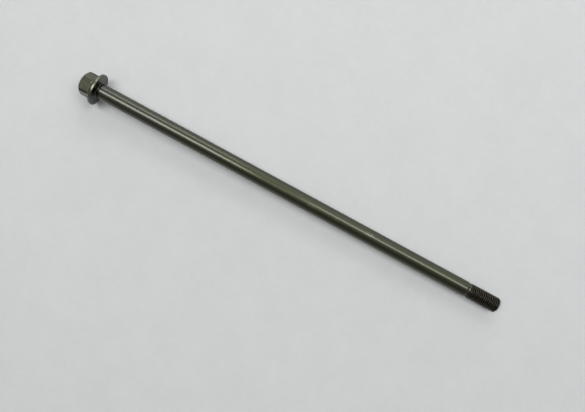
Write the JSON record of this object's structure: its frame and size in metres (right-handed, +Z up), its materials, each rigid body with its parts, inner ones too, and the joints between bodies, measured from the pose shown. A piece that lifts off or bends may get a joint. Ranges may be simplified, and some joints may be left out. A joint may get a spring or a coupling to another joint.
{
  "type": "flange bolt",
  "caption": "Long hex flange bolt: washer-faced hexagon head, plain round shank and a short fine-pitch thread at the end.",
  "frame": {"origin": "on the table under the middle of the lying bolt: centre of the footprint, at the height of the lowest points", "axes": "+X along the bolt towards the threaded end, +Z up, +Y across the bolt; the bolt's own axis dips by 1.07 degrees from the flange to the thread, because it rests on the flange rim and on the end of the thread"},
  "size_m": [0.2956, 0.0204, 0.0205],
  "materials": {
    "bolt_steel": "smooth, thinly oiled dark olive-grey coated steel, semi-gloss, rubbed a little brighter along the shank"
  },
  "bodies": {
    "root": {"flange_bolt": "bolt_steel"}
  },
  "joints": []
}
